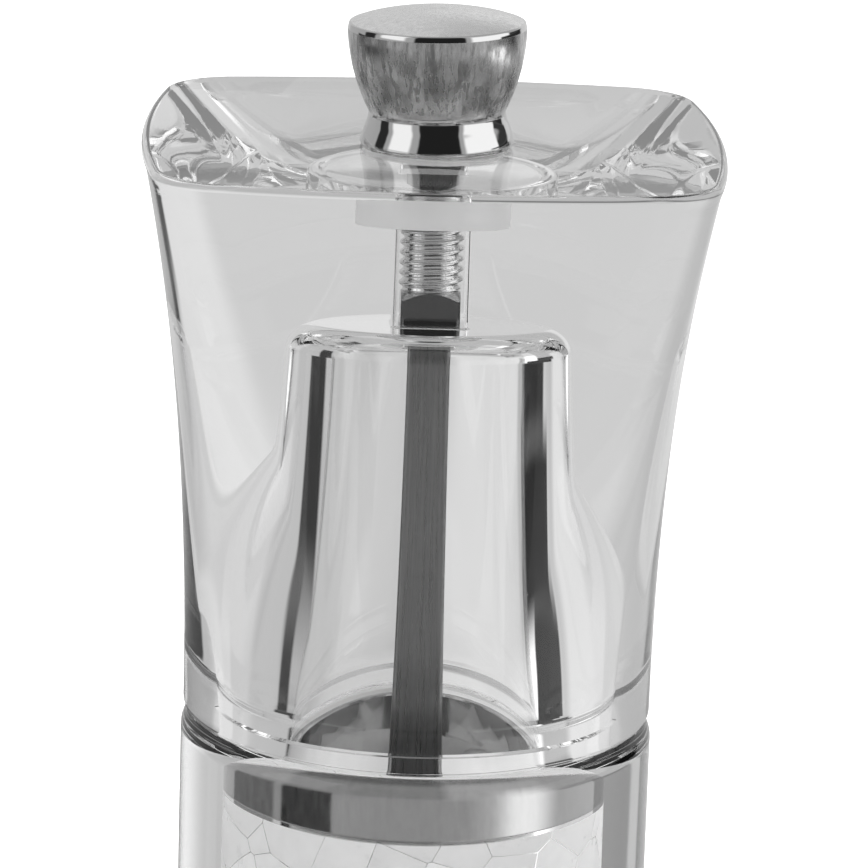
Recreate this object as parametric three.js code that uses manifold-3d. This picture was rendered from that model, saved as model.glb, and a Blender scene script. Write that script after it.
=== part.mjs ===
// A hand-turned pepper mill, in millimetres, +Z up, standing on z = 0 with its axis on Z.
// A clear acrylic body holds the filling and the grinder; a clear squared head turns a square bar
// that drives the grinder, and the knob on the bar's threaded end sets how fine it grinds.

import * as THREE from 'three';
import { mergeVertices } from 'three/addons/utils/BufferGeometryUtils.js';
import Module from 'manifold-3d';

const wasm = await Module();
wasm.setup();

// ---------------------------------------------------------------- driving dimensions

// Body
const bodyRadius = 22.2;
const bodyHeight = 69.4;
const hopperRadius = 11.75;
const mouthRound = 1.8; // rounding of the body's upper outer edge
const baseRound = 0.8;
const recessWall = 4.2; // the body's wall round the grinder
const recessDepth = 22;

// Collar in the body's mouth
const collarClearance = 0.1;
const collarWall = 0.75;
const collarTopInset = 0.6;
const collarHeight = 7.8;

// Head
const jointGap = 0.3; // between the body's top face and the head
const headBottomRadius = 22;
const headTopHalfWidth = 26.75;
const headHeight = 55.1;
const headFlarePower = 2.25;
const faceBowRadius = 130; // how nearly flat the four faces are at the top
const headCornerRadius = 7;
const squaringPower = 1.65; // how early the round section turns square
const rimRound = 0.7;
const topDish = 1.2; // how far the head's top face is hollowed at its middle
const headBaseRound = 0.8;
const cavityRadius = 11.9;
const cavityRoofRound = 2.5;
const roofThickness = 14.8;
const counterboreRadius = 6.7;
const counterboreDepth = 5;
const bushPlay = 0.2;

// Bar and thread
const barWidth = 5;
const barCornerRadius = 0.45;
const barPlay = 0.2; // per side, in every flat-sided hole
const threadRadius = 2.8;
const threadPitch = 1;
const threadDepth = 0.45;
const threadPlay = 0.2; // radial, where the thread passes or screws
const shoulderBelowTop = 12.3; // top face of the head to where the bar's corners start to be turned away
const shoulderSlope = 0.83; // rise of the turned cone over its width
const squareHolePlay = 0.4; // between the stud and the head's square hole, which drives the bar
const squareHoleCorner = 0.4;

// Knob
const knobLift = 0.3; // between the foot's edge and the dished top face
const knobHeight = 12.5;
const knobFootRadius = 7.1;
const knobWaistRadius = 6.3;
const knobRimRadius = 8.2;
const knobDome = 1.15;
const knobBoreDepth = 8.3;
const threadEngagement = 7.5;

// Grinder
const housingPlay = 0.3;
const housingBottom = 1.2;
const bridgeThickness = 2.4;
const bridgeRimWidth = 4.4;
const armWidth = 3.2;
const armCount = 3;
const hubRadius = 6;
const bearingRadius = 4.6;
const bearingFlange = 0.7;
const seatGap = 0.3; // between pieces that rest on each other
const housingWall = 4.5; // between the stator and the recess
const statorPlay = 0.2;
const statorHeight = 7.4;
const statorBottom = 4.2;
const statorLedge = 1.4; // how far the housing reaches over the stator
const grindGap = 0.55;
const statorWall = 2.85; // at the wide end of the stator's bore
const rotorTopRadius = 6.4;
const rotorHeight = 7.4;
const rotorBottom = 5;
const toothCount = 12;
const toothDepth = 0.12; // share of the radius
const retainerThickness = 0.9;
const retainerWidth = 3;

// Spring and washers
const springRadius = 5;
const springWire = 0.8;
const springTurns = 2.5;
const washerThickness = 0.6;
const springWasherRadius = 6.4;
const springSeatRadius = 6.2;

// Lower end of the bar
const footThreadRadius = 2;
const nutAcrossFlats = 7;
const nutHeight = 2.1;
const rotorWasherRadius = 5;
const barEndBelowNut = 0.2;

// Screws
const screwCount = 3;
const screwRadius = 1.1;
const screwHeadRadius = 1.7;
const screwHeadHeight = 1.4;
const screwBite = 4; // into the body
const screwPlay = 0.15;
const screwSlotWidth = 0.7;

// ---------------------------------------------------------------- places worked out from them

const headBottom = bodyHeight + jointGap;
const headTop = headBottom + headHeight;
const cavityRoof = headTop - roofThickness;
const counterboreFloor = headTop - counterboreDepth;
const knobBottom = dishedTop(knobFootRadius) + knobLift;
const barShoulder = headTop - shoulderBelowTop;
const barCornerReach = Math.SQRT2 * (barWidth / 2 - barCornerRadius) + barCornerRadius;
const threadRoot = threadRadius - threadDepth;
const threadBottom = barShoulder + shoulderSlope * (barCornerReach - threadRoot);
const studTop = knobBottom + threadEngagement;

const recessRadius = bodyRadius - recessWall;
const housingRadius = recessRadius - housingPlay;
const statorRadius = housingRadius - housingWall - statorPlay;
const rotorBottomRadius = statorRadius - statorWall - grindGap;
const bridgeTop = recessDepth - seatGap;
const bridgeBottom = bridgeTop - bridgeThickness;
const housingTop = bridgeBottom - seatGap;
const bearingTop = bridgeTop;
const bearingBottom = bridgeBottom - seatGap - bearingFlange;
const bearingBore = Math.hypot(barWidth, barWidth) / 2 + barPlay;
const springWasherTop = bearingBottom - seatGap;
const springWasherBottom = springWasherTop - washerThickness;
const rotorTop = rotorBottom + rotorHeight;
const springSeatBottom = rotorTop + seatGap;
const springSeatTop = springSeatBottom + washerThickness;
const statorTop = statorBottom + statorHeight;
const retainerTop = statorBottom - seatGap;
const rotorWasherTop = rotorBottom - seatGap;
const rotorWasherBottom = rotorWasherTop - washerThickness;
const nutTop = rotorWasherBottom - seatGap;
const nutBottom = nutTop - nutHeight;
const barBottom = nutBottom - barEndBelowNut;
const screwCircleRadius = housingRadius - bridgeRimWidth / 2;

const BODY_SEGMENTS = 72;
const RING_SEGMENTS = 48;
const SMALL_SEGMENTS = 24;

// ---------------------------------------------------------------- shape helpers

// Points of an arc in the (radius, height) plane, angles in degrees.
function arc(centreR, centreZ, radius, from, to, steps) {
  return Array.from({ length: steps + 1 }, (_, i) => {
    const a = THREE.MathUtils.degToRad(from + ((to - from) * i) / steps);
    return [centreR + radius * Math.cos(a), centreZ + radius * Math.sin(a)];
  });
}

// Turns a closed or axis-to-axis profile of [radius, height] points about Z, with its faces outwards.
function turned(profile, segments = RING_SEGMENTS) {
  const area = profile.reduce((sum, [r, z], i) => {
    const [nextR, nextZ] = profile[(i + 1) % profile.length];
    return sum + r * nextZ - nextR * z;
  }, 0);
  const points = (area > 0 ? profile : [...profile].reverse()).map(([r, z]) => new THREE.Vector2(r, z));
  const onAxis = points[0].x === 0 && points[points.length - 1].x === 0;
  if (!onAxis) points.push(points[0].clone());
  return new THREE.LatheGeometry(points, segments).rotateX(Math.PI / 2);
}

// A plain turned ring, or a disc when the inner radius is 0.
function ring(outer, inner, bottom, top, segments = RING_SEGMENTS) {
  const profile = [[inner, bottom], [outer, bottom], [outer, top], [inner, top]];
  return turned(profile, segments);
}

// Raises a flat outline from one height to another.
function prism(shape, bottom, top, curveSegments = 3) {
  const depth = top - bottom;
  const settings = { depth, bevelEnabled: false, curveSegments };
  return new THREE.ExtrudeGeometry(shape, settings).translate(0, 0, bottom);
}

function roundedSquare(width, cornerRadius) {
  const half = width / 2;
  const inner = half - cornerRadius;
  const shape = new THREE.Shape();
  shape.moveTo(half, -inner);
  shape.absarc(inner, inner, cornerRadius, 0, Math.PI / 2);
  shape.absarc(-inner, inner, cornerRadius, Math.PI / 2, Math.PI);
  shape.absarc(-inner, -inner, cornerRadius, Math.PI, 1.5 * Math.PI);
  shape.absarc(inner, -inner, cornerRadius, 1.5 * Math.PI, 2 * Math.PI);
  return shape;
}

// Moves every point of a turned piece in or out by a factor that depends on its angle and height.
function reshape(geometry, factor) {
  const position = geometry.attributes.position;
  for (let i = 0; i < position.count; i++) {
    const [x, y, z] = [position.getX(i), position.getY(i), position.getZ(i)];
    const f = factor(Math.atan2(y, x), z);
    position.setXY(i, x * f, y * f);
  }
  return geometry;
}

function solid(geometry) {
  const bare = geometry.clone();
  bare.deleteAttribute('normal');
  bare.deleteAttribute('uv');
  const merged = mergeVertices(bare, 1e-4);
  const mesh = { numProp: 3, vertProperties: merged.attributes.position.array };
  mesh.triVerts = new Uint32Array(merged.index.array);
  return new wasm.Manifold(new wasm.Mesh(mesh));
}

function geometryOf(manifold) {
  const mesh = manifold.getMesh();
  const geometry = new THREE.BufferGeometry();
  geometry.setAttribute('position', new THREE.BufferAttribute(mesh.vertProperties, 3));
  geometry.setIndex(new THREE.BufferAttribute(mesh.triVerts, 1));
  geometry.computeVertexNormals();
  return geometry;
}

function joined(...geometries) {
  return geometryOf(geometries.map(solid).reduce((all, next) => all.add(next)));
}

function cut(geometry, ...tools) {
  return geometryOf(tools.map(solid).reduce((rest, tool) => rest.subtract(tool), solid(geometry)));
}

function common(geometry, other) {
  return geometryOf(solid(geometry).intersect(solid(other)));
}

function around(count, radius, make) {
  return Array.from({ length: count }, (_, i) => {
    const angle = (i * 2 * Math.PI) / count + Math.PI / 2;
    return make(radius * Math.cos(angle), radius * Math.sin(angle), angle, i);
  });
}

// ---------------------------------------------------------------- materials

const finishes = {
  acrylic: { color: 0xe9ecec, roughness: 0.03, metalness: 0, transparent: true, opacity: 0.35 },
  polishedSteel: { color: 0xc9c9c7, roughness: 0.12, metalness: 1 },
  brightBar: { color: 0x8e8e8c, roughness: 0.3, metalness: 1 },
  springSteel: { color: 0x9a9a98, roughness: 0.28, metalness: 1 },
  nylon: { color: 0xe6e6e2, roughness: 0.45, metalness: 0 },
  ceramic: { color: 0xdedad0, roughness: 0.6, metalness: 0 },
  moulding: { color: 0x2c2c2d, roughness: 0.5, metalness: 0 },
  screwSteel: { color: 0xb0b0ae, roughness: 0.25, metalness: 1 },
};

const mill = new THREE.Group();

function add(name, finish, geometry) {
  const mesh = new THREE.Mesh(geometry, new THREE.MeshStandardMaterial(finishes[finish]));
  mesh.name = name;
  mill.add(mesh);
}

// ---------------------------------------------------------------- body and collar

const screwPlaces = around(screwCount, screwCircleRadius, (x, y) => [x, y]);

function screwHole(radius, bottom, top) {
  return screwPlaces.map(([x, y]) => ring(radius, 0, bottom, top, 12).translate(x, y, 0));
}

function body() {
  const shell = turned([
    [recessRadius, 0],
    ...arc(bodyRadius - baseRound, baseRound, baseRound, -90, 0, 3),
    ...arc(bodyRadius - mouthRound, bodyHeight - mouthRound, mouthRound, 0, 90, 5),
    [hopperRadius, bodyHeight],
    [hopperRadius, recessDepth],
    [recessRadius, recessDepth],
  ], BODY_SEGMENTS);
  const pilotTop = recessDepth + screwBite + seatGap;
  return cut(shell, ...screwHole(screwRadius + screwPlay, recessDepth - 1, pilotTop));
}

function topCollar() {
  const outer = hopperRadius - collarClearance;
  const top = bodyHeight - collarTopInset;
  return ring(outer, outer - collarWall, top - collarHeight, top);
}

// ---------------------------------------------------------------- head

// The head's section at a height: four faces bowed to one radius, four corners rounded to another,
// both swelling into one circle at the bottom. The result is the outline's distance from the axis.
function headOutline(angle, z) {
  const t = THREE.MathUtils.clamp((z - headBottom) / headHeight, 0, 1);
  const half = headHalfWidth(z);
  const squareness = 1 - (1 - t) ** squaringPower;
  const bow = 1 / THREE.MathUtils.lerp(1 / headBottomRadius, 1 / faceBowRadius, squareness);
  const corner = THREE.MathUtils.lerp(headBottomRadius, headCornerRadius, squareness);
  if (bow - corner < 1e-6) return half;
  const faceCentre = half - bow;
  const root = Math.sqrt(Math.max(8 * (bow - corner) ** 2 - 4 * faceCentre ** 2, 0));
  const cornerCentre = (2 * faceCentre + root) / 4;
  const normal = Math.atan2(cornerCentre, cornerCentre - faceCentre);
  const meet = Math.atan2(bow * Math.sin(normal), faceCentre + bow * Math.cos(normal));
  const fromFace = Math.abs(THREE.MathUtils.euclideanModulo(angle + Math.PI / 4, Math.PI / 2) - Math.PI / 4);
  const [c, s] = [Math.cos(fromFace), Math.sin(fromFace)];
  if (fromFace <= meet) return faceCentre * c + Math.sqrt(bow ** 2 - (faceCentre * s) ** 2);
  return cornerCentre * (c + s) + Math.sqrt(Math.max(corner ** 2 - (cornerCentre * (c - s)) ** 2, 0));
}

// Height of the head's hollowed top face at a distance from the axis.
function dishedTop(r) {
  return headTop - topDish * (1 - (r / (headTopHalfWidth - rimRound)) ** 2);
}

function headHalfWidth(z) {
  const t = THREE.MathUtils.clamp((z - headBottom) / headHeight, 0, 1);
  return headBottomRadius + (headTopHalfWidth - headBottomRadius) * t ** headFlarePower;
}

function head() {
  const levels = 10;
  const flank = Array.from({ length: levels - 1 }, (_, i) => {
    const from = headBottom + headBaseRound;
    const z = from + ((headTop - rimRound - from) * (i + 1)) / levels;
    return [headHalfWidth(z), z];
  });
  const dish = [0.8, 0.6, 0.4, 0.2, 0].map((share) => {
    const r = (headTopHalfWidth - rimRound) * share;
    return [r, dishedTop(r)];
  });
  const blank = turned([
    [0, headBottom],
    ...arc(headBottomRadius - headBaseRound, headBottom + headBaseRound, headBaseRound, -90, 0, 3),
    ...flank,
    ...arc(headTopHalfWidth - rimRound, headTop - rimRound, rimRound, 0, 90, 4),
    ...dish,
  ], BODY_SEGMENTS);
  reshape(blank, (angle, z) => headOutline(angle, z) / headHalfWidth(z));
  const cavity = turned([
    [0, headBottom - 1],
    [cavityRadius, headBottom - 1],
    ...arc(cavityRadius - cavityRoofRound, cavityRoof - cavityRoofRound, cavityRoofRound, 0, 90, 4),
    [0, cavityRoof],
  ]);
  const squareHoleWidth = 2 * (threadRadius + squareHolePlay);
  const squareHole = prism(roundedSquare(squareHoleWidth, squareHoleCorner), cavityRoof - 1, headTop);
  const counterbore = ring(counterboreRadius, 0, counterboreFloor, headTop + 1);
  return cut(blank, cavity, squareHole, counterbore);
}

// Fills the counterbore, centres the stud and carries the knob.
function studBush() {
  return ring(counterboreRadius - bushPlay, threadRadius + threadPlay,
    counterboreFloor + bushPlay, knobBottom - seatGap);
}

// ---------------------------------------------------------------- knob

function knob() {
  const z = (height) => knobBottom + height;
  const rimHeight = knobHeight - knobDome;
  const waistHeight = 3.05;
  const profile = [
    [threadRadius + threadPlay, z(0)],
    [knobFootRadius - 0.3, z(0)],
    [knobFootRadius, z(0.4)],
    [knobFootRadius - 0.12, z(1)],
    [knobWaistRadius + 0.15, z(waistHeight - 0.6)],
    [knobWaistRadius, z(waistHeight)],
    [knobWaistRadius + 0.42, z(waistHeight + 1.15)],
    [knobWaistRadius + 0.78, z(waistHeight + 2.05)],
    [knobRimRadius - 0.82, z(rimHeight - 5.5)],
    [knobRimRadius - 0.38, z(rimHeight - 3.85)],
    [knobRimRadius - 0.14, z(rimHeight - 2.45)],
    [knobRimRadius, z(rimHeight - 0.3)],
    [knobRimRadius - 0.25, z(rimHeight)],
    [knobRimRadius * 0.78, z(rimHeight + knobDome * 0.45)],
    [knobRimRadius * 0.42, z(rimHeight + knobDome * 0.86)],
    [0, z(knobHeight)],
    [0, z(knobBoreDepth)],
    [threadRadius + threadPlay, z(knobBoreDepth)],
  ];
  return turned(profile);
}

// ---------------------------------------------------------------- bar

// A square bar, turned round at both ends: a short threaded foot for the nut, and a cone that
// leads to the threaded stud for the knob.
function driveShaft() {
  const ridges = [];
  for (let z = threadBottom; z < studTop - threadPitch; z += threadPitch) {
    ridges.push([threadRoot, z], [threadRadius, z + threadPitch / 2]);
  }
  const square = prism(roundedSquare(barWidth, barCornerRadius), barBottom, threadBottom);
  const envelope = turned([
    [0, barBottom],
    [footThreadRadius, barBottom],
    [footThreadRadius, rotorBottom],
    [barCornerReach + 1, rotorBottom],
    [barCornerReach + 1, barShoulder - shoulderSlope],
    [threadRoot, threadBottom],
    [0, threadBottom],
  ], SMALL_SEGMENTS);
  const stud = turned([[0, threadBottom - 1], [threadRoot, threadBottom - 1],
    ...ridges, [threadRoot, studTop], [0, studTop]], SMALL_SEGMENTS);
  return joined(common(square, envelope), stud);
}

// ---------------------------------------------------------------- grinder, fixed pieces

function grinderHousing() {
  const inner = statorRadius + statorPlay;
  const ledge = statorTop + seatGap;
  const cup = turned([
    [inner, housingBottom],
    [housingRadius, housingBottom],
    [housingRadius, housingTop],
    [inner - statorLedge, housingTop],
    [inner - statorLedge, ledge],
    [inner, ledge],
  ]);
  const counterbores = screwHole(screwHeadRadius + screwPlay, housingBottom - 1, screwHeadTop() + seatGap);
  return cut(cup, ...screwHole(screwRadius + screwPlay, housingBottom - 1, housingTop + 1), ...counterbores);
}

function screwHeadTop() {
  return housingBottom + screwHeadHeight;
}

function statorRing() {
  const slope = (rotorBottomRadius - rotorTopRadius) / rotorHeight;
  const bore = (z) => rotorBottomRadius + grindGap + (rotorBottom - z) * slope;
  const [below, above] = [statorBottom - 1, statorTop + 1];
  const cutter = turned([[0, below], [bore(below), below], [bore(above), above], [0, above]], 6 * toothCount);
  const deepen = (angle) => 1 + toothDepth * sawtooth(angle + Math.PI / toothCount);
  return cut(ring(statorRadius, 0, statorBottom, statorTop), reshape(cutter, deepen));
}

// Rises from 0 to 1 over each tooth and drops back.
function sawtooth(angle) {
  const step = (2 * Math.PI) / toothCount;
  const share = THREE.MathUtils.euclideanModulo(angle, step) / step;
  return Math.min(share / 0.8, (1 - share) / 0.2);
}

function bridge() {
  const rimInner = housingRadius - bridgeRimWidth;
  const armLength = rimInner - bearingRadius;
  const arms = around(armCount, bearingRadius + armLength / 2, (x, y, angle) =>
    new THREE.BoxGeometry(armLength + 2, armWidth, bridgeThickness)
      .rotateZ(angle)
      .translate(x, y, bridgeBottom + bridgeThickness / 2));
  const rim = ring(housingRadius, rimInner, bridgeBottom, bridgeTop);
  const hub = ring(hubRadius, 0, bridgeBottom, bridgeTop, SMALL_SEGMENTS);
  const bearingHole = ring(bearingRadius + screwPlay, 0, bridgeBottom - 1, bridgeTop + 1, SMALL_SEGMENTS);
  const holes = screwHole(screwRadius + screwPlay, bridgeBottom - 1, bridgeTop + 1);
  return cut(joined(rim, ...arms, hub), bearingHole, ...holes);
}

function shaftBearing() {
  return turned([
    [bearingBore, bearingBottom],
    [hubRadius, bearingBottom],
    [hubRadius, bearingBottom + bearingFlange],
    [bearingRadius, bearingBottom + bearingFlange],
    [bearingRadius, bearingTop],
    [bearingBore, bearingTop],
  ], SMALL_SEGMENTS);
}

function housingScrew(x, y) {
  const top = recessDepth + screwBite;
  const pan = turned([
    [0, housingBottom],
    [screwHeadRadius * 0.8, housingBottom],
    [screwHeadRadius, housingBottom + 0.5],
    [screwHeadRadius, screwHeadTop()],
    [screwRadius, screwHeadTop()],
    [screwRadius, top - screwRadius],
    [0, top],
  ], 16);
  const slotDepth = 0.8;
  const slotLength = 1.5 * screwHeadRadius;
  const slot = () => new THREE.BoxGeometry(slotLength, screwSlotWidth, 2 * slotDepth).translate(0, 0, housingBottom);
  return cut(pan, slot(), slot().rotateZ(Math.PI / 2)).translate(x, y, 0);
}

// ---------------------------------------------------------------- grinder, turning pieces

function barHole(bottom, top) {
  return prism(roundedSquare(barWidth + 2 * barPlay, barCornerRadius), bottom, top);
}

function rotor() {
  const cone = turned([
    [0, rotorBottom],
    [rotorBottomRadius, rotorBottom],
    [rotorTopRadius, rotorTop],
    [0, rotorTop],
  ], 6 * toothCount);
  reshape(cone, (angle) => 1 - toothDepth * sawtooth(angle));
  return cut(cone, barHole(rotorBottom - 1, rotorTop + 1));
}

function squareHoledWasher(radius, bottom, top) {
  return cut(ring(radius, 0, bottom, top, 36), barHole(bottom - 1, top + 1));
}

class Helix extends THREE.Curve {
  getPoint(t) {
    const low = springSeatTop + seatGap + springWire / 2;
    const high = springWasherBottom - seatGap - springWire / 2;
    const angle = t * springTurns * 2 * Math.PI;
    const z = THREE.MathUtils.lerp(low, high, t);
    return new THREE.Vector3(springRadius * Math.cos(angle), springRadius * Math.sin(angle), z);
  }
}

function spring() {
  const wire = new THREE.Shape().absarc(0, 0, springWire / 2, 0, 2 * Math.PI);
  const settings = { steps: 14 * springTurns, extrudePath: new Helix(), curveSegments: 6 };
  return new THREE.ExtrudeGeometry(wire, settings);
}

function rotorNut() {
  const corners = around(6, nutAcrossFlats / Math.sqrt(3), (x, y) => new THREE.Vector2(x, y));
  const hexagon = new THREE.Shape(corners);
  const hole = ring(footThreadRadius + threadPlay, 0, nutBottom - 1, nutTop + 1, SMALL_SEGMENTS);
  return cut(prism(hexagon, nutBottom, nutTop), hole);
}

// ---------------------------------------------------------------- the mill

add('body', 'acrylic', body());
add('top_collar', 'polishedSteel', topCollar());
add('grinder_housing', 'moulding', grinderHousing());
add('stator_ring', 'ceramic', statorRing());
add('retainer_ring', 'moulding', ring(statorRadius, statorRadius - retainerWidth,
  retainerTop - retainerThickness, retainerTop));
add('bridge', 'moulding', bridge());
add('shaft_bearing', 'nylon', shaftBearing());
screwPlaces.forEach(([x, y], i) => add(`housing_screw_${i + 1}`, 'screwSteel', housingScrew(x, y)));

add('spring_washer', 'springSteel', squareHoledWasher(springWasherRadius, springWasherBottom, springWasherTop));
add('spring', 'springSteel', spring());

add('drive_shaft', 'brightBar', driveShaft());
add('spring_seat', 'springSteel', squareHoledWasher(springSeatRadius, springSeatBottom, springSeatTop));
add('rotor', 'ceramic', rotor());
add('rotor_washer', 'springSteel', ring(rotorWasherRadius, footThreadRadius + threadPlay,
  rotorWasherBottom, rotorWasherTop, SMALL_SEGMENTS));
add('rotor_nut', 'screwSteel', rotorNut());

add('head', 'acrylic', head());
add('stud_bush', 'nylon', studBush());
add('knob', 'polishedSteel', knob());

export default mill;
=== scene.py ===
"""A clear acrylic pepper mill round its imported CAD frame. Lengths are in millimetres until a mesh is made."""

import math
import random

import bmesh
import bpy
from mathutils import Matrix, Vector


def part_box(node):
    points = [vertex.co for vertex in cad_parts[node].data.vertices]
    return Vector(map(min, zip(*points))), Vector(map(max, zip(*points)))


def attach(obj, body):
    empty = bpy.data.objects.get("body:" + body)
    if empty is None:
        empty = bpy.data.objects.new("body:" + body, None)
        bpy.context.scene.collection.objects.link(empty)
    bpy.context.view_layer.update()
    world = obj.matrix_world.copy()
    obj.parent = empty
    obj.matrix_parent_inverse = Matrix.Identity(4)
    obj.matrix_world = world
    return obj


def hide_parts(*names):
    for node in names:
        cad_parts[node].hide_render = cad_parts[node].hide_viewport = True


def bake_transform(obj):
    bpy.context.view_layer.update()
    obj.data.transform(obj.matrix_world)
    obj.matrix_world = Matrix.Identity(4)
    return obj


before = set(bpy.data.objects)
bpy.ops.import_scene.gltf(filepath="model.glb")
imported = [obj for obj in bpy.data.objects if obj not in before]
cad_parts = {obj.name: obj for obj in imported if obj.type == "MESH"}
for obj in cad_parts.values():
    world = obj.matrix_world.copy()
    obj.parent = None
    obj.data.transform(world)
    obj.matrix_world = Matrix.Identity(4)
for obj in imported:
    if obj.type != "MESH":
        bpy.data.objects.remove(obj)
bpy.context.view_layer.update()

MM = 0.001


def box(node):
    low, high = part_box(node)
    return low / MM, high / MM


# ---------------------------------------------------------------- sizes from the frame

BODY_HIGH = box("body")[1]
HEAD_LOW, HEAD_HIGH = box("head")
COLLAR_LOW, COLLAR_HIGH = box("top_collar")
SHAFT_LOW, SHAFT_HIGH = box("drive_shaft")
KNOB_HIGH = box("knob")[1]
BUSH_HIGH = box("stud_bush")[1]
BRIDGE_HIGH = box("bridge")[1]
SPRING_LOW, SPRING_HIGH = box("spring")

BODY_RADIUS = BODY_HIGH.x
BODY_TOP = BODY_HIGH.z
HEAD_BOTTOM = HEAD_LOW.z
HEAD_TOP = HEAD_HIGH.z
HEAD_TOP_HALF = HEAD_HIGH.x
KNOB_TOP = KNOB_HIGH.z

# ---------------------------------------------------------------- sizes of the clear mouldings

ACRYLIC_IOR = 1.49
CONTACT = 0.012  # how far a piece that touches the acrylic reaches into it, so that no film of air is left

HOPPER_RADIUS = 11.75
MOUTH_ROUND = 1.8
BODY_BASE_ROUND = 0.8
RECESS_RADIUS = 18
RECESS_DEPTH = BRIDGE_HIGH.z + 0.3

# The head's form was fitted to the same outlines as the camera.
HEAD_BOTTOM_RADIUS = 22
FLARE_POWER = 2.25
FACE_BOW = 130
CORNER_RADIUS = 7
SQUARING_POWER = 1.65
RIM_ROUND = 0.7
TOP_DISH = 1.2
HEAD_BASE_ROUND = 0.8
CAVITY_RADIUS = 11.9
CAVITY_ROOF = HEAD_TOP - 14.8
ROOF_ROUND = 2.5
COUNTERBORE_RADIUS = 6.55
COUNTERBORE_FLOOR = HEAD_TOP - 5
SQUARE_HOLE_HALF = 3.2
SQUARE_HOLE_CORNER = 0.4
SMALL_EDGE = 0.2  # the broken edge at the mouth of a bore

# ---------------------------------------------------------------- sizes of the steel pieces

COLLAR_WALL = 0.75
BAR_HALF = 2.5
BAR_CORNER = 0.45
BAR_REACH = math.sqrt(2) * (BAR_HALF - BAR_CORNER) + BAR_CORNER
BAR_FOOT_RADIUS = 2
BAR_SHOULDER = HEAD_TOP - 12.3
CONE_SLOPE = 0.83
THREAD_RADIUS = 2.8
THREAD_ROOT = 2.38
THREAD_PITCH = 1
THREAD_BOTTOM = BAR_SHOULDER + CONE_SLOPE * (BAR_REACH - THREAD_ROOT)
SPRING_WIRE = 0.8
SPRING_TURNS = 2.5

# ---------------------------------------------------------------- the knob, which leans a little on its stud

KNOB_SEAT = HEAD_TOP - TOP_DISH + 0.12
KNOB_WAIST = KNOB_SEAT + 3.05
KNOB_WAIST_RADIUS = 6.3
KNOB_FOOT_FLAT = 6.72
KNOB_FOOT_ROUND = 0.28
KNOB_RADIUS = 8.2
KNOB_DOME_RADIUS = 7.9
KNOB_RIM = KNOB_TOP - 1.3  # height of the dome's edge
KNOB_BAND_HEIGHT = 0.5  # of the bright band under the rim
KNOB_LEAN = -0.025  # in radians
KNOB_OFFSET = 0.3
KNOB_PLACE = (Matrix.Translation(Vector((KNOB_OFFSET, 0, KNOB_SEAT)) * MM)
              @ Matrix.Rotation(KNOB_LEAN, 4, "Y")
              @ Matrix.Translation(Vector((0, 0, -KNOB_SEAT)) * MM))

# ---------------------------------------------------------------- the filling

SALT_BOTTOM = RECESS_DEPTH + 0.35
SALT_TOP = COLLAR_LOW.z + 0.6
SALT_TRIES = 6000
SALT_SPACING = 4.3
SALT_NEAREST = SALT_SPACING * 0.78  # between the middles of two crystals
SALT_INNER_SEED, SALT_OUTER_SEED = 4.6, 11.2
SALT_GAP = 0.012
SALT_BEVEL = 0.06
SALT_BAR_ROOM = 3.9
SALT_COLLAR_ROOM = 0.15
SALT_WALL_FACETS = 144
UP = Vector((0, 0, 1))

# ---------------------------------------------------------------- camera

# From fits to the outlines in the photograph. The distance is uncertain, and the head's form depends on it.
SENSOR_WIDTH = 36
LENS_LENGTH = 213.18
CAMERA_DISTANCE = 463.2
CAMERA_HEIGHT = 94.9  # over the head's top face
CAMERA_SIDE = 0.88
PITCH, ROLL, YAW = 0.2605, 0.0318, 0.0245


def make_camera():
    data = bpy.data.cameras.new("camera")
    data.sensor_width = SENSOR_WIDTH
    data.lens = LENS_LENGTH
    data.clip_end = 50
    camera = bpy.data.objects.new("camera", data)
    bpy.context.scene.collection.objects.link(camera)
    place = Vector((CAMERA_SIDE, -CAMERA_DISTANCE, HEAD_TOP + CAMERA_HEIGHT)) * MM
    tilt = Matrix.Rotation(math.pi / 2 - PITCH, 4, "X") @ Matrix.Rotation(ROLL, 4, "Z")
    camera.matrix_world = Matrix.Rotation(-YAW, 4, "Z") @ Matrix.Translation(place) @ tilt
    bpy.context.scene.camera = camera


# ---------------------------------------------------------------- mesh helpers

def make_object(name, mesh, material, body, smooth_angle=35):
    mesh.validate()
    mesh.polygons.foreach_set("use_smooth", [True] * len(mesh.polygons))
    mesh.set_sharp_from_angle(angle=math.radians(smooth_angle))
    mesh.materials.clear()
    mesh.materials.append(material)
    piece = bpy.data.objects.new(name, mesh)
    bpy.context.scene.collection.objects.link(piece)
    if body:
        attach(piece, body)
    return piece


def arc(centre_r, centre_z, radius, start, end, steps, *kind):
    points = []
    for i in range(steps + 1):
        a = math.radians(start + (end - start) * i / steps)
        points.append((centre_r + radius * math.cos(a), centre_z + radius * math.sin(a), *kind))
    return points


def head_half_width(z):
    t = min(max((z - HEAD_BOTTOM) / (HEAD_TOP - HEAD_BOTTOM), 0), 1)
    return HEAD_BOTTOM_RADIUS + (HEAD_TOP_HALF - HEAD_BOTTOM_RADIUS) * t ** FLARE_POWER


def rounded_square(angle, half, bow, corner):
    """Distance from the axis to a square with bowed faces and rounded corners."""
    if bow - corner < 1e-6:
        return half
    face = half - bow
    root = math.sqrt(max(8 * (bow - corner) ** 2 - 4 * face ** 2, 0))
    centre = (2 * face + root) / 4
    normal = math.atan2(centre, centre - face)
    meet = math.atan2(bow * math.sin(normal), face + bow * math.cos(normal))
    turn = abs((angle + math.pi / 4) % (math.pi / 2) - math.pi / 4)
    c, s = math.cos(turn), math.sin(turn)
    if turn <= meet:
        return face * c + math.sqrt(bow ** 2 - (face * s) ** 2)
    return centre * (c + s) + math.sqrt(max(corner ** 2 - (centre * (c - s)) ** 2, 0))


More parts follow.
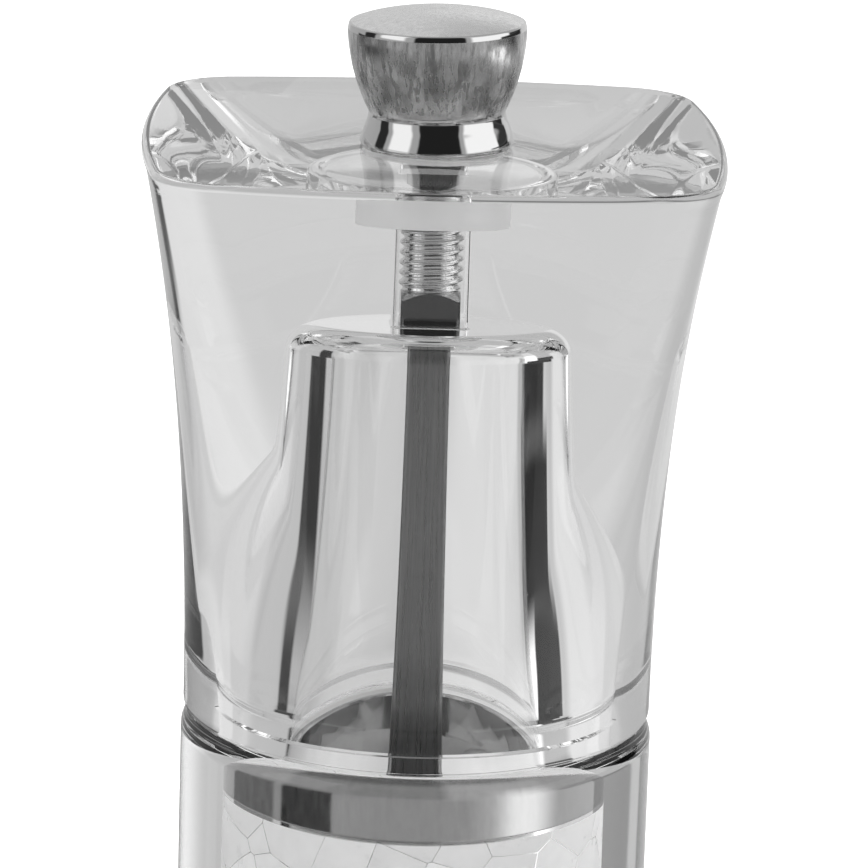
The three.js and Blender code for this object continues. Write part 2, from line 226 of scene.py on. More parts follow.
def head_outline(angle, z):
    t = min(max((z - HEAD_BOTTOM) / (HEAD_TOP - HEAD_BOTTOM), 0), 1)
    squareness = 1 - (1 - t) ** SQUARING_POWER
    bow = 1 / ((1 - squareness) / HEAD_BOTTOM_RADIUS + squareness / FACE_BOW)
    corner = HEAD_BOTTOM_RADIUS + (CORNER_RADIUS - HEAD_BOTTOM_RADIUS) * squareness
    return rounded_square(angle, head_half_width(z), bow, corner)


def radius_at(angle, r, z, kind):
    """kind is the share of the head's squared outline that a ring follows, or "hole" for the square hole."""
    if kind == "hole":
        return rounded_square(angle, r, 1000 * r, SQUARE_HOLE_CORNER)
    if kind:
        return r * (1 + (head_outline(angle, z) / head_half_width(z) - 1) * kind)
    return r


def supported(profile, closed):
    """Adds a ring close to each end of a long straight stretch, so that its shading stays flat."""
    near, long_enough = 0.05, 1.2
    out = []
    count = len(profile)
    for i in range(count):
        out.append(profile[i])
        if i == count - 1 and not closed:
            break
        (r0, z0, k0), (r1, z1, k1) = profile[i], profile[(i + 1) % count]
        length = math.hypot(r1 - r0, z1 - z0)
        if length < long_enough or k0 == "hole" != k1 or k1 == "hole" != k0:
            continue
        for share in (near / length, 1 - near / length):
            kind = "hole" if k0 == "hole" else k0 + (k1 - k0) * share
            out.append((r0 + (r1 - r0) * share, z0 + (z1 - z0) * share, kind))
    return out


def loft(profile, segments=192, closed=True):
    """Turns a profile of (radius, height, kind) round the axis; an open one starts and ends on the axis."""
    rings = supported([(*p, 0)[:3] for p in profile], closed)
    vertices, faces = [], []
    count = len(rings)
    for i in range(segments):
        angle = 2 * math.pi * (i + 0.5) / segments
        for r, z, kind in rings:
            reach = radius_at(angle, r, z, kind) * MM
            vertices.append((reach * math.cos(angle), reach * math.sin(angle), z * MM))
    for i in range(segments):
        j = (i + 1) % segments
        for k in range(count if closed else count - 1):
            n = (k + 1) % count
            faces.append((i * count + k, j * count + k, j * count + n, i * count + n))
    mesh = bpy.data.meshes.new("loft")
    mesh.from_pydata(vertices, [], faces)
    cleaned = bmesh.new()
    cleaned.from_mesh(mesh)
    bmesh.ops.remove_doubles(cleaned, verts=cleaned.verts, dist=1e-7)
    bmesh.ops.recalc_face_normals(cleaned, faces=cleaned.faces)
    cleaned.to_mesh(mesh)
    cleaned.free()
    return mesh


def through(points, steps=5):
    """A smooth curve through points (Catmull-Rom)."""
    padded = [points[0], *points, points[-1]]
    out = []
    for p0, p1, p2, p3 in zip(padded, padded[1:], padded[2:], padded[3:]):
        for i in range(steps):
            t = i / steps
            out.append(tuple(
                0.5 * (2 * b + (c - a) * t + (2 * a - 5 * b + 4 * c - d) * t * t
                       + (3 * b - a - 3 * c + d) * t ** 3)
                for a, b, c, d in zip(p0, p1, p2, p3)))
    return [*out, tuple(points[-1])]


def boolean(mesh, other, operation):
    """mesh joined with, cut by or kept within other."""
    target = bpy.data.objects.new("target", mesh)
    tool = bpy.data.objects.new("tool", other)
    for o in (target, tool):
        bpy.context.scene.collection.objects.link(o)
    modifier = target.modifiers.new("boolean", "BOOLEAN")
    modifier.operation = operation
    modifier.object = tool
    modifier.solver = "EXACT"
    bpy.context.view_layer.update()
    evaluated = target.evaluated_get(bpy.context.evaluated_depsgraph_get())
    made = bpy.data.meshes.new_from_object(evaluated)
    for o in (target, tool):
        bpy.data.objects.remove(o)
    return made


# ---------------------------------------------------------------- materials

class Nodes:
    """A short way to write the node tree of a material or of the world."""

    def __init__(self, owner, place="Object"):
        owner.use_nodes = True
        self.owner = owner
        self.tree = owner.node_tree
        self.shader = self.tree.nodes.get("Principled BSDF")
        self.place = self.add("ShaderNodeTexCoord").outputs[place]

    def add(self, kind, inputs=(), **settings):
        node = self.tree.nodes.new(kind)
        for key, value in settings.items():
            setattr(node, key, value)
        for key, value in dict(inputs).items():
            if isinstance(value, bpy.types.NodeSocket):
                self.tree.links.new(value, node.inputs[key])
            else:
                node.inputs[key].default_value = value
        return node

    def math(self, operation, a, b=0.0):
        return self.add("ShaderNodeMath", {0: a, 1: b}, operation=operation).outputs[0]

    def stretched(self, x, y, z, place=None):
        inputs = {"Vector": place or self.place, "Scale": (x, y, z)}
        return self.add("ShaderNodeMapping", inputs).outputs[0]

    def noise(self, vector, scale, detail=4.0, roughness=0.55):
        inputs = {"Vector": vector, "Scale": scale, "Detail": detail, "Roughness": roughness}
        return self.add("ShaderNodeTexNoise", inputs).outputs["Fac"]

    def cells(self, vector, scale, feature="F1"):
        inputs = {"Vector": vector, "Scale": scale}
        return self.add("ShaderNodeTexVoronoi", inputs, feature=feature).outputs["Distance"]

    def spread(self, value, low, high, out_low=0.0, out_high=1.0, smooth=True):
        inputs = {"Value": value, "From Min": low, "From Max": high, "To Min": out_low, "To Max": out_high}
        kind = "SMOOTHSTEP" if smooth else "LINEAR"
        return self.add("ShaderNodeMapRange", inputs, interpolation_type=kind).outputs["Result"]

    def mix(self, share, low, high):
        """A colour between two colours; 0, 6, 7 and 2 are the colour sockets of the Mix node."""
        return self.add("ShaderNodeMix", {0: share, 6: low, 7: high}, data_type="RGBA").outputs[2]

    def colour(self, share, low, high):
        return self.mix(share, (*low, 1), (*high, 1))

    def bump(self, height, strength, distance=0.0001):
        inputs = {"Height": height, "Strength": strength, "Distance": distance}
        self.set(Normal=self.add("ShaderNodeBump", inputs).outputs["Normal"])

    def around(self):
        """Place unrolled round the Z axis: metres round a 7 mm circle, height, distance from the axis."""
        unrolled_radius = 7 * MM
        split = self.add("ShaderNodeSeparateXYZ", {0: self.place}).outputs
        angle = self.math("ARCTAN2", split[1], split[0])
        reach = self.math("SQRT", self.math(
            "ADD", self.math("MULTIPLY", split[0], split[0]), self.math("MULTIPLY", split[1], split[1])))
        unrolled = {"X": self.math("MULTIPLY", angle, unrolled_radius), "Y": split[2], "Z": reach}
        return self.add("ShaderNodeCombineXYZ", unrolled).outputs[0]

    def height(self):
        return self.add("ShaderNodeSeparateXYZ", {0: self.place}).outputs[2]

    def set(self, **sockets):
        for key, value in sockets.items():
            socket = self.shader.inputs[key.replace("_", " ")]
            if isinstance(value, bpy.types.NodeSocket):
                self.tree.links.new(value, socket)
            else:
                socket.default_value = value


def material_nodes(name):
    return Nodes(bpy.data.materials.new(name))


def grey(value):
    return (value, value, value)


def plain(name, dark, light, rough, scale=900, stretch=(1, 1, 1), bump=0.15, **sockets):
    """A finish whose colour, roughness and relief follow one noise at the real grain's size."""
    n = material_nodes(name)
    grain = n.noise(n.stretched(*stretch), scale)
    n.set(Base_Color=n.colour(grain, dark, light), Roughness=n.spread(grain, 0.2, 0.8, *rough), **sockets)
    n.bump(grain, bump, 0.00005)
    return n.owner


def acrylic():
    n = material_nodes("clear_acrylic")
    waves = n.noise(n.place, 60, 1)
    n.set(Base_Color=n.colour(waves, grey(0.975), grey(0.995)), Transmission_Weight=1.0,
          IOR=ACRYLIC_IOR, Roughness=0.0)
    scratch = n.spread(n.noise(n.stretched(1, 0.06, 1.6), 2600, 2), 0.70, 0.78)
    n.bump(scratch, 0.02, 0.00002)
    return n.owner


def knob_steel():
    """Polished foot and rim band, a scuffed bowl with upright streaks, and a paler dome."""
    n = material_nodes("knob_steel")
    upright = KNOB_PLACE.inverted()
    n.place = n.add("ShaderNodeMapping", {"Vector": n.place, "Location": upright.translation,
                                          "Rotation": upright.to_euler()}).outputs[0]
    unrolled = n.around()
    reach = n.add("ShaderNodeSeparateXYZ", {0: unrolled}).outputs[2]
    streaks = n.noise(n.stretched(1, 0.12, 1, unrolled), 2600, 6, 0.6)
    scuffs = n.noise(n.stretched(1, 0.22, 1, unrolled), 1900, 6, 0.7)
    above_waist = n.spread(n.height(), (KNOB_WAIST + 0.2) * MM, (KNOB_WAIST + 1.2) * MM)
    band_bottom = KNOB_RIM - KNOB_BAND_HEIGHT
    band = n.math("MULTIPLY", n.math("GREATER_THAN", n.height(), band_bottom * MM),
                  n.math("GREATER_THAN", reach, KNOB_DOME_RADIUS * MM))
    not_band = n.math("SUBTRACT", 1.0, band)
    scuffed = n.math("MULTIPLY", above_waist, not_band)
    mixed = n.math("ADD", n.math("MULTIPLY", scuffs, 0.6), n.math("MULTIPLY", streaks, 0.4))
    worn = n.math("MULTIPLY", n.spread(mixed, 0.36, 0.68), scuffed)
    dome = n.math("MULTIPLY", n.spread(n.height(), (KNOB_RIM - 0.05) * MM, (KNOB_RIM + 0.05) * MM), not_band)
    colour = n.mix(dome, n.colour(worn, grey(0.66), grey(0.30)), n.colour(worn, grey(0.92), grey(0.78)))
    n.set(Metallic=1.0, Base_Color=colour,
          Roughness=n.math("ADD", n.math("MULTIPLY", worn, 0.22), n.spread(scuffed, 0, 1, 0.05, 0.16)))
    n.bump(n.math("MULTIPLY", streaks, scuffed), 0.5, 0.00004)
    return n.owner


def bar_steel():
    """Drawn lengthwise, dusted near the joint, with painted shade at the top end in the head's hole and a
    painted highlight on the upward-facing cone.
    """
    n = material_nodes("bar_steel")
    drawn = n.noise(n.stretched(1, 1, 0.02), 3200, 6, 0.65)
    pits = n.cells(n.place, 3200, "DISTANCE_TO_EDGE")
    dust_bottom, dust_top = BODY_TOP + 4.1, BODY_TOP + 18.6
    dusted = n.math("MULTIPLY", n.spread(n.height(), dust_bottom * MM, (dust_bottom + 0.5) * MM),
                    n.spread(n.height(), dust_top * MM, (dust_top - 4) * MM))
    grain = n.math("MULTIPLY", n.spread(pits, 0.02, 0.12), dusted)
    # Painted shade: above the cavity's roof, inside the head's square hole, the bar's colour is darkened to a
    # tenth; it is also made smoother there.
    painted_shade_top_end = n.spread(n.height(), (CAVITY_ROOF - 0.5) * MM, (CAVITY_ROOF + 0.5) * MM)
    shade = n.math("MULTIPLY", drawn, n.spread(painted_shade_top_end, 0, 1, 1, 0.1))
    # Painted highlight: faces that point upward, which here is the turned cone, are given the pale end of the
    # colour.
    facing = n.add("ShaderNodeTexCoord").outputs["Normal"]
    turned = n.spread(n.add("ShaderNodeSeparateXYZ", {0: facing}).outputs[2], 0.3, 0.5)
    shade = n.math("MAXIMUM", shade, turned)
    n.set(Metallic=1.0, Base_Color=n.colour(shade, grey(0.06), grey(0.42)),
          Roughness=n.math("MULTIPLY", n.spread(drawn, 0.2, 0.8, 0.22, 0.38),
                           n.spread(painted_shade_top_end, 0, 1, 1, 0.3)))
    n.bump(n.math("ADD", drawn, grain), 0.2, 0.00003)
    return n.owner


def salt_white():
    """White with a cloudy grain, and each crystal of its own shade."""
    n = material_nodes("salt_white")
    cloud = n.noise(n.place, 420, 5, 0.6)
    crystal = n.add("ShaderNodeNewGeometry").outputs["Random Per Island"]
    shade = n.math("ADD", n.math("MULTIPLY", cloud, 0.5), n.math("MULTIPLY", crystal, 0.5))
    n.set(Base_Color=n.colour(shade, grey(0.70), grey(1.0)), Roughness=n.spread(cloud, 0.3, 0.7, 0.25, 0.5),
          Specular_IOR_Level=0.4)
    n.bump(n.noise(n.place, 2400, 4), 0.25, 0.00005)
    return n.owner


MATERIALS = {
    "acrylic": acrylic(),
    "knob_steel": knob_steel(),
    "bar_steel": bar_steel(),
    "salt": salt_white(),
    "collar_steel": plain("collar_steel", grey(0.46), grey(0.56), (0.05, 0.12), 1500, (1, 1, 0.3), 0.05,
                          Metallic=1.0),
    "stud_steel": plain("stud_steel", grey(0.70), grey(0.85), (0.03, 0.08), 1500, bump=0.05, Metallic=1.0),
    "spring_steel": plain("spring_steel", grey(0.5), grey(0.68), (0.18, 0.32), 2200, bump=0.1, Metallic=1.0),
    "screw_steel": plain("screw_steel", grey(0.58), grey(0.76), (0.15, 0.28), 1800, bump=0.1, Metallic=1.0),
    "nylon": plain("nylon", grey(0.90), grey(0.97), (0.3, 0.45), 700, bump=0.1,
                   Transmission_Weight=0.35, IOR=1.5),
    "ceramic": plain("ceramic", (0.66, 0.64, 0.58), (0.84, 0.82, 0.76), (0.45, 0.7), 1600, bump=0.3),
    "moulding": plain("moulding", grey(0.018), grey(0.04), (0.35, 0.55), 1900, bump=0.35),
}


# ---------------------------------------------------------------- clear mouldings

def make_head():
    flank_levels, dish_rings = 60, 14
    hole_edge = 0.15
    base_z = HEAD_BOTTOM + HEAD_BASE_ROUND
    rim_z = HEAD_TOP - RIM_ROUND
    top_half = head_half_width(HEAD_TOP)
    profile = [(CAVITY_RADIUS + SMALL_EDGE, HEAD_BOTTOM, 0)]
    profile += arc(HEAD_BOTTOM_RADIUS - HEAD_BASE_ROUND, base_z, HEAD_BASE_ROUND, -90, 0, 8, 1)
    for i in range(1, flank_levels):
        z = base_z + (rim_z - base_z) * i / flank_levels
        profile.append((head_half_width(z), z, 1))
    profile += arc(top_half - RIM_ROUND, rim_z, RIM_ROUND, 0, 90, 10, 1)
    flat_half = top_half - RIM_ROUND
    for i in range(dish_rings):
        share = 1 - (i + 1) / dish_rings * (1 - COUNTERBORE_RADIUS / flat_half)
        profile.append((flat_half * share, HEAD_TOP - TOP_DISH * (1 - share ** 2), max(share * 1.5 - 0.5, 0)))
    profile.append((COUNTERBORE_RADIUS, COUNTERBORE_FLOOR, 0))
    profile.append((SQUARE_HOLE_HALF, COUNTERBORE_FLOOR, "hole"))
    profile.append((SQUARE_HOLE_HALF, CAVITY_ROOF + hole_edge, "hole"))
    profile.append((SQUARE_HOLE_HALF + hole_edge, CAVITY_ROOF, "hole"))
    profile += arc(CAVITY_RADIUS - ROOF_ROUND, CAVITY_ROOF - ROOF_ROUND, ROOF_ROUND, 90, 0, 12, 0)
    profile.append((CAVITY_RADIUS, HEAD_BOTTOM + SMALL_EDGE, 0))
    piece = make_object("clear_head", loft(profile, 384), MATERIALS["acrylic"], "head_unit")
    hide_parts("head")
    return piece


def make_body():
    edge = SMALL_EDGE
    profile = [(RECESS_RADIUS + edge, 0, 0)]
    profile += arc(BODY_RADIUS - BODY_BASE_ROUND, BODY_BASE_ROUND, BODY_BASE_ROUND, -90, 0, 8, 0)
    profile += arc(BODY_RADIUS - MOUTH_ROUND, BODY_TOP - MOUTH_ROUND, MOUTH_ROUND, 0, 90, 14, 0)
    profile += [(HOPPER_RADIUS + edge, BODY_TOP, 0), (HOPPER_RADIUS, BODY_TOP - edge, 0)]
    profile += [(HOPPER_RADIUS, RECESS_DEPTH, 0), (RECESS_RADIUS, RECESS_DEPTH, 0), (RECESS_RADIUS, edge, 0)]
    piece = make_object("clear_body", loft(profile, 256), MATERIALS["acrylic"], "mill_body")
    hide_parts("body")
    return piece


# ---------------------------------------------------------------- steel pieces

def make_collar():
    outer = HOPPER_RADIUS + CONTACT
    inner = COLLAR_HIGH.x - COLLAR_WALL
    round_below, round_above, top_edge = 0.45, 0.13, 0.15
    low, high = COLLAR_LOW.z, COLLAR_HIGH.z
    profile = [(inner, low + SMALL_EDGE, 0), (inner + SMALL_EDGE, low, 0)]
    profile += arc(outer - round_below, low + round_below, round_below, -90, 0, 8, 0)
    profile += arc(outer - round_above, high - round_above, round_above, 0, 90, 6, 0)
    profile += [(inner + top_edge, high, 0), (inner, high - top_edge, 0)]
    mesh = loft(profile, 256)
    piece = make_object("steel_collar", mesh, MATERIALS["collar_steel"], "mill_body")
    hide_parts("top_collar")


def make_knob():
    rim = KNOB_RIM - KNOB_SEAT
    waist = KNOB_WAIST - KNOB_SEAT
    rounding = arc(KNOB_FOOT_FLAT, KNOB_FOOT_ROUND, KNOB_FOOT_ROUND, -90, -10, 4)
    foot = through([(KNOB_FOOT_FLAT + KNOB_FOOT_ROUND, KNOB_FOOT_ROUND), (7.08, 0.5), (6.98, 1.0),
                    (6.72, 1.75), (6.45, 2.45), (KNOB_WAIST_RADIUS, waist)])
    bowl = through([(KNOB_WAIST_RADIUS, waist), (6.36, 3.4), (6.72, 4.2), (7.08, 5.1), (7.38, 5.95),
                    (7.62, 6.8), (7.82, 7.6), (8.06, 9.0), (8.18, 10.1), (KNOB_RADIUS, rim - 0.52)])
    band = [(KNOB_RADIUS, rim - 0.48)] + arc(7.92, rim - 0.14, 0.2, 12, 75, 5)
    dome = through([(7.8, rim + 0.1), (6.9, rim + 0.4), (5.2, rim + 0.78), (3.0, rim + 1.1),
                    (1.2, rim + 1.22), (0, rim + 1.25)])
    outline = [(0, 0), (KNOB_FOOT_FLAT, 0), *rounding, *foot, *bowl[1:], *band, *dome]
    mesh = loft([(r, KNOB_SEAT + h, 0) for r, h in outline], 256, closed=False)
    mesh.transform(KNOB_PLACE)
    piece = make_object("steel_knob", mesh, MATERIALS["knob_steel"], "knob_unit", 50)
    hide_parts("knob")


def thread_mesh(bottom, top):
    """A round stud whose radius follows a helical ridge."""
    per_turn, levels_per_pitch = 96, 16
    fade_below, fade_above = 0.6, 0.4
    levels = int((top - bottom) / THREAD_PITCH * levels_per_pitch)
    vertices, faces = [], []
    for k in range(levels + 1):
        z = bottom + (top - bottom) * k / levels
        for i in range(per_turn):
            turns = z / THREAD_PITCH - i / per_turn
            ridge = 0.5 - 0.5 * math.cos(2 * math.pi * turns)
            fade = min((z - bottom) / fade_below, 1, (top - z) / fade_above)
            r = THREAD_ROOT + (THREAD_RADIUS - THREAD_ROOT) * ridge * fade
            angle = 2 * math.pi * i / per_turn
            vertices.append((r * MM * math.cos(angle), r * MM * math.sin(angle), z * MM))
    for k in range(levels):
        for i in range(per_turn):
            j = (i + 1) % per_turn
            faces.append((k * per_turn + i, k * per_turn + j, (k + 1) * per_turn + j, (k + 1) * per_turn + i))
    faces.append(tuple(reversed(range(per_turn))))
    faces.append(tuple(levels * per_turn + i for i in range(per_turn)))
    mesh = bpy.data.meshes.new("thread")
    mesh.from_pydata(vertices, [], faces)
    return mesh


def make_shaft():
    corner_steps = 8
    flat = BAR_HALF - BAR_CORNER
    ring = []
    for i, (sx, sy) in enumerate(((1, 1), (-1, 1), (-1, -1), (1, -1))):
        for k in range(corner_steps + 1):
            a = math.pi / 2 * (i + k / corner_steps)
            ring.append(Vector((flat * sx + BAR_CORNER * math.cos(a), flat * sy + BAR_CORNER * math.sin(a))))
    count = len(ring)
    vertices = [(p.x * MM, p.y * MM, z * MM) for z in (SHAFT_LOW.z, THREAD_BOTTOM) for p in ring]
    faces = [(i, (i + 1) % count, count + (i + 1) % count, count + i) for i in range(count)]
    faces += [tuple(reversed(range(count))), tuple(range(count, 2 * count))]
    square = bpy.data.meshes.new("square_bar")
    square.from_pydata(vertices, [], faces)
    rotor_bottom = box("rotor")[0].z
    turned = [(0, SHAFT_LOW.z), (BAR_FOOT_RADIUS - SMALL_EDGE, SHAFT_LOW.z),
              (BAR_FOOT_RADIUS, SHAFT_LOW.z + SMALL_EDGE), (BAR_FOOT_RADIUS, rotor_bottom),
              (BAR_REACH + 1, rotor_bottom), (BAR_REACH + 1, BAR_SHOULDER - CONE_SLOPE),
              (THREAD_ROOT, THREAD_BOTTOM), (0, THREAD_BOTTOM)]
    bar = boolean(square, loft([(*p, 0) for p in turned], 128, closed=False), "INTERSECT")
    make_object("threaded_stud", thread_mesh(THREAD_BOTTOM - 0.05, SHAFT_HIGH.z),
                MATERIALS["stud_steel"], "spindle", 60)
    piece = make_object("square_bar", bar, MATERIALS["bar_steel"], "spindle", 30)
    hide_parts("drive_shaft")


def make_spring():
    """The coil over the rotor."""
    steps, sides = 120, 12
    coil_radius = SPRING_HIGH.x - SPRING_WIRE / 2
    low, high = SPRING_LOW.z + SPRING_WIRE / 2, SPRING_HIGH.z - SPRING_WIRE / 2
    vertices, faces = [], []
    for k in range(steps + 1):
        share = k / steps
        angle = 2 * math.pi * SPRING_TURNS * share
        for i in range(sides):
            a = 2 * math.pi * i / sides
            r = coil_radius + SPRING_WIRE / 2 * math.cos(a)
            z = low + (high - low) * share + SPRING_WIRE / 2 * math.sin(a)
            vertices.append((r * MM * math.cos(angle), r * MM * math.sin(angle), z * MM))
    for k in range(steps):
        for i in range(sides):
            j = (i + 1) % sides
            faces.append((k * sides + i, (k + 1) * sides + i, (k + 1) * sides + j, k * sides + j))
    faces.append(tuple(range(sides)))
    faces.append(tuple(steps * sides + i for i in reversed(range(sides))))
    mesh = bpy.data.meshes.new("coil")
    mesh.from_pydata(vertices, [], faces)
    piece = make_object("coil_spring", mesh, MATERIALS["spring_steel"], None)
    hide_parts("spring")
    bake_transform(piece)


def make_bush():
    bottom, top = COUNTERBORE_FLOOR - CONTACT, BUSH_HIGH.z
    outer, inner, edge = COUNTERBORE_RADIUS + CONTACT, THREAD_RADIUS + 0.2, SMALL_EDGE
    profile = [(inner + edge, bottom), (outer - 0.02, bottom), (outer, bottom + 0.02), (outer, top - edge),
               (outer - edge, top), (inner + edge, top), (inner, top - edge), (inner, bottom + edge)]
    piece = make_object("nylon_bush", loft(profile, 192), MATERIALS["nylon"], "head_unit")
    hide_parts("stud_bush")


# ---------------------------------------------------------------- filling

def cut_cell(cell, point, normal):
    """Cuts away what lies beyond a plane and closes the cell again."""
    geometry = cell.verts[:] + cell.edges[:] + cell.faces[:]
    result = bmesh.ops.bisect_plane(cell, geom=geometry, dist=1e-6, plane_co=point, plane_no=normal,
                                    clear_outer=True)
    edges = [e for e in result["geom_cut"] if isinstance(e, bmesh.types.BMEdge)]
    if edges:
        bmesh.ops.contextual_create(cell, geom=edges)


def salt_seeds(dice):
    """The middles of the crystals, spread round the bar and kept apart from one another."""
    seeds = []
    for _ in range(SALT_TRIES):
        r = math.sqrt(dice.uniform(SALT_INNER_SEED ** 2, SALT_OUTER_SEED ** 2))
        a = dice.uniform(0, 2 * math.pi)
        seed = Vector((r * math.cos(a), r * math.sin(a), dice.uniform(SALT_BOTTOM, SALT_TOP)))
        if all((seed - other).length > SALT_NEAREST for other in seeds):
            seeds.append(seed)
    return seeds


def salt_crystal(seed, seeds, low, high, lean, reach):
    """One crystal between two heights and inside a radius, with a flat side towards each neighbour."""
    block_side, neighbour_reach = 2.4 * SALT_SPACING, 2.6 * SALT_SPACING
    wall_arc = 0.9  # in radians, to either side of the crystal's middle
    cell = bmesh.new()
    bmesh.ops.create_cube(cell, size=block_side, matrix=Matrix.Translation(seed))
    for other in seeds:
        between = other - seed
        if 0 < between.length < neighbour_reach:
            side = between.normalized()
            cut_cell(cell, seed + between * 0.5 - side * SALT_GAP, side)
    cut_cell(cell, Vector((0, 0, low)), -UP)
    cut_cell(cell, Vector((seed.x, seed.y, high)), lean)
    middle = math.atan2(seed.y, seed.x)
    inward = Vector((-math.cos(middle), -math.sin(middle), 0))
    cut_cell(cell, -inward * SALT_BAR_ROOM, inward)
    for i in range(SALT_WALL_FACETS):
        a = 2 * math.pi * i / SALT_WALL_FACETS
        if abs((a - middle + math.pi) % (2 * math.pi) - math.pi) < wall_arc:
            outward = Vector((math.cos(a), math.sin(a), 0))
            cut_cell(cell, outward * reach, outward)
    return cell


def make_salt():
    """Coarse salt: crystals with flat sides packed together, the outer ones flat against the wall."""
    dice = random.Random(11)
    sharp = 0.3  # in radians; flatter edges aren't bevelled
    wall = HOPPER_RADIUS + CONTACT
    inside_collar = COLLAR_HIGH.x - COLLAR_WALL - SALT_COLLAR_ROOM
    seeds = salt_seeds(dice)
    merged = bmesh.new()
    for seed in seeds:
        lean = Vector((dice.uniform(-0.5, 0.5), dice.uniform(-0.5, 0.5), 1)).normalized()
        top = SALT_TOP + dice.uniform(-0.8, 0.8)
        cells = (salt_crystal(seed, seeds, SALT_BOTTOM, COLLAR_LOW.z, UP, wall),
                 salt_crystal(seed, seeds, COLLAR_LOW.z, top, lean, inside_collar))
        for cell in cells:
            if len(cell.faces) > 3:
                edges = [e for e in cell.edges if e.calc_face_angle(0) > sharp]
                bmesh.ops.bevel(cell, geom=edges, offset=SALT_BEVEL, segments=2, affect="EDGES", profile=0.6)
                made = [merged.verts.new(v.co * MM) for v in cell.verts]
                for face in cell.faces:
                    merged.faces.new([made[v.index] for v in face.verts])
            cell.free()
    bmesh.ops.recalc_face_normals(merged, faces=merged.faces)
    mesh = bpy.data.meshes.new("salt")
    merged.to_mesh(mesh)
    merged.free()
    return make_object("salt_filling", mesh, MATERIALS["salt"], "mill_body", 20)


# ---------------------------------------------------------------- CAD pieces that stay, with their finish

STAYING = {
    "grinder_housing": "moulding", "retainer_ring": "moulding", "bridge": "moulding",
    "stator_ring": "ceramic", "rotor": "ceramic", "shaft_bearing": "nylon",
    "spring_washer": "spring_steel", "spring_seat": "spring_steel",
    "rotor_washer": "spring_steel", "rotor_nut": "screw_steel", "housing_screw_1": "screw_steel",
    "housing_screw_2": "screw_steel", "housing_screw_3": "screw_steel",
}


def dress_cad_pieces():
    for node, finish in STAYING.items():
        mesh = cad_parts[node].data
        mesh.materials.clear()
        mesh.materials.append(MATERIALS[finish])
        mesh.polygons.foreach_set("use_smooth", [True] * len(mesh.polygons))
        mesh.set_sharp_from_angle(angle=math.radians(35))


# ---------------------------------------------------------------- studio

# Panels of light or shade, each painted over the ones before it: bearing from and to, height from and to,
# soft edge (all in degrees) and brightness. Bearing 0 is the camera's side, and bearings grow towards +X.
# They were written from the result of a fit of the light to the photograph, and adjusted after that.
PANELS = (
    (-180, -150, -18, 60, 8, 0.64),       # far back, left
    (-152, -122, -20, 16, 6, 0.52),       # back, left
    (-60, 40, 48, 90, 8, 0.15),           # high in front
    (-120, 28, -90, -44, 8, 0.14),        # low, left and front
    (28, 110, -90, -48, 8, 0.30),         # low, right
    (-112, 30, -44, -21, 5, 0.38),        # left and front, under level
    (26, 118, -48, -18, 6, 0.64),         # right, under level
    (-35, 70, -22, -5, 5, 0.45),          # front, just under level
    (50, 128, -24, -12, 12, 0.8),         # right, under level, pale
    (72, 112, -24, -12, 14, 2.2),         # right, under level, bright
    (134, 180, -18, 24, 5, 0.78),         # back, right
    (166, 180, -9, 7, 4, 0.64),           # far back, right
    (-180, -122, -23, -17, 2, 0.20),      # back left, a low dark strip
    (-31, 36, -2, 48, 2, 0.02),           # dark front
    (-79, -44, 4, 50, 3, 1.3),            # left softbox
    (44, 105, 0, 30, 3, 1.35),            # right softbox
    (44, 105, 30, 50, 3, 0.75),           # right softbox, its upper part
    (-107, -88, -3, 30, 2, 0.03),         # left black card
    (-122, -96, -12.5, -2, 2, 0.03),      # left black card, its lower part
    (-120, -110, -15.5, -12, 1.5, 0.03),  # left black card, its foot
    (-113, -66, -22.5, -15, 1.5, 0.01),   # left, a low black strip
    (105, 137, 4, 13.5, 2, 0.05),         # right black card, its upper part
    (88, 132, -4, 5, 2, 0.03),            # right black card
    (76, 116, -9, -3, 2, 0.02),           # right black card, its lower part
    (72, 123, -13, -8, 1, 0.01),          # right black card, lower still
    (102, 127, -16.5, -12, 1, 0.03),      # right black card, its foot
)
ROOM_LIGHT = 0.5  # between the panels
SOFT_LIGHT_BELOW, SOFT_LIGHT_ABOVE = 0.95, 1.3  # what matt surfaces get instead of the panels


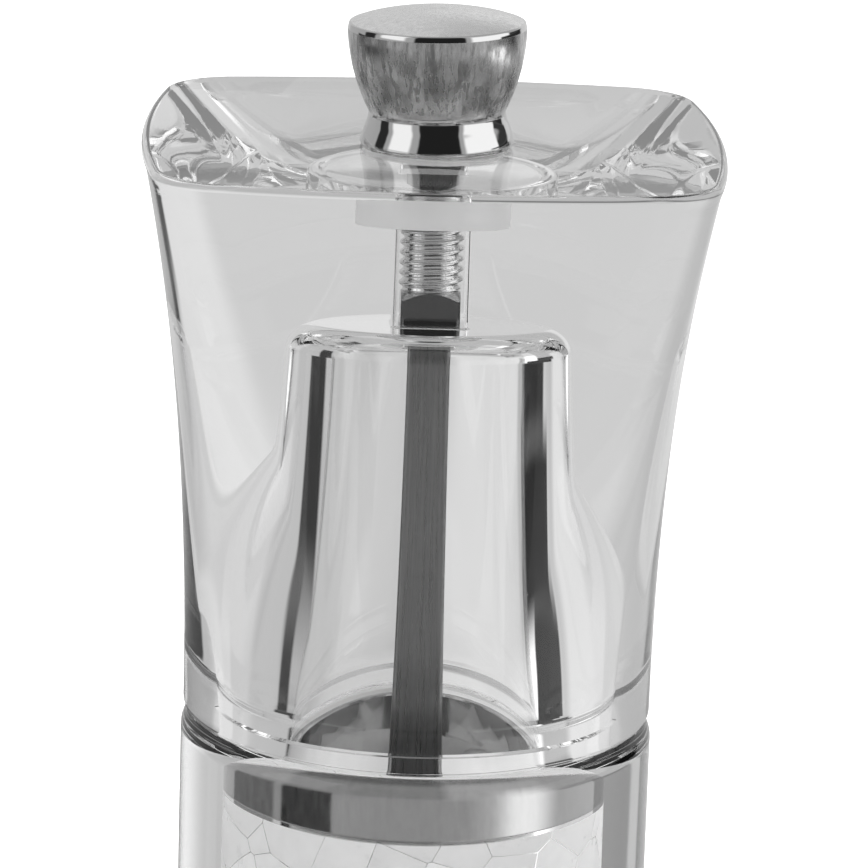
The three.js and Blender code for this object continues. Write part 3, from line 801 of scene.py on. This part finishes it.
def make_world():
    """The camera sees white, matt surfaces get a soft light, and clear and shiny ones get the panels."""
    world = bpy.data.worlds.new("studio")
    bpy.context.scene.world = world
    n = Nodes(world, "Generated")
    split = n.add("ShaderNodeSeparateXYZ", {0: n.place}).outputs
    degrees = 180 / math.pi
    towards_camera = n.math("MULTIPLY", split[1], -1.0)
    bearing = n.math("MULTIPLY", n.math("ARCTAN2", split[0], towards_camera), degrees)
    height = n.math("MULTIPLY", n.math("ARCSINE", split[2]), degrees)
    light = ROOM_LIGHT
    for left, right, low, high, soft, strength in PANELS:
        mask = 1.0
        edges = ((bearing, left, 1), (bearing, right, -1), (height, low, 1), (height, high, -1))
        for value, edge, side in edges:
            if abs(edge) < 180:
                mask = n.math("MULTIPLY", mask, n.spread(value, edge - soft * side, edge + soft * side))
        light = n.math("ADD", n.math("MULTIPLY", light, n.math("SUBTRACT", 1.0, mask)),
                       n.math("MULTIPLY", mask, strength))
    path = n.add("ShaderNodeLightPath").outputs
    soft_light = n.spread(height, -10, 60, SOFT_LIGHT_BELOW, SOFT_LIGHT_ABOVE)
    scattered = n.math("GREATER_THAN", path["Diffuse Depth"], 0.5)
    light = n.math("ADD", n.math("MULTIPLY", light, n.math("SUBTRACT", 1.0, scattered)),
                   n.math("MULTIPLY", soft_light, scattered))
    shown = n.math("MAXIMUM", light, path["Is Camera Ray"])
    colour = n.add("ShaderNodeCombineXYZ", {0: shown, 1: shown, 2: shown}).outputs[0]
    n.tree.links.new(colour, n.tree.nodes["Background"].inputs["Color"])


def make_floor():
    """A pale floor that glows a little and is left out of reflections and of what the clear pieces show."""
    half, drop = 2.0, 0.0002  # in metres
    mesh = bpy.data.meshes.new("floor")
    corners = [(-half, -half, 0), (half, -half, 0), (half, half, 0), (-half, half, 0)]
    mesh.from_pydata(corners, [], [(0, 1, 2, 3)])
    n = material_nodes("pale_floor")
    n.tree.nodes.remove(n.shader)
    grain = n.noise(n.place, 30, 3)
    white = n.add("ShaderNodeBsdfDiffuse", {"Color": n.colour(grain, grey(0.88), grey(0.92))})
    glow = n.add("ShaderNodeEmission", {"Strength": 0.5})
    both = n.add("ShaderNodeAddShader", {0: white.outputs[0], 1: glow.outputs[0]})
    n.tree.links.new(both.outputs[0], n.tree.nodes["Material Output"].inputs["Surface"])
    mesh.materials.append(n.owner)
    floor = bpy.data.objects.new("floor", mesh)
    floor.location.z = -drop
    floor.visible_transmission = False
    floor.visible_glossy = False
    bpy.context.scene.collection.objects.link(floor)


def set_view():
    scene = bpy.context.scene
    scene.view_settings.view_transform = "Standard"
    scene.cycles.max_bounces = 24
    scene.cycles.transmission_bounces = 24
    scene.cycles.glossy_bounces = 8
    scene.cycles.use_denoising = True


make_camera()
make_world()
make_floor()
for clear in (make_head(), make_body()):
    clear.visible_shadow = False
make_collar()
make_knob()
make_shaft()
make_bush()
make_spring()
make_salt()
dress_cad_pieces()
set_view()
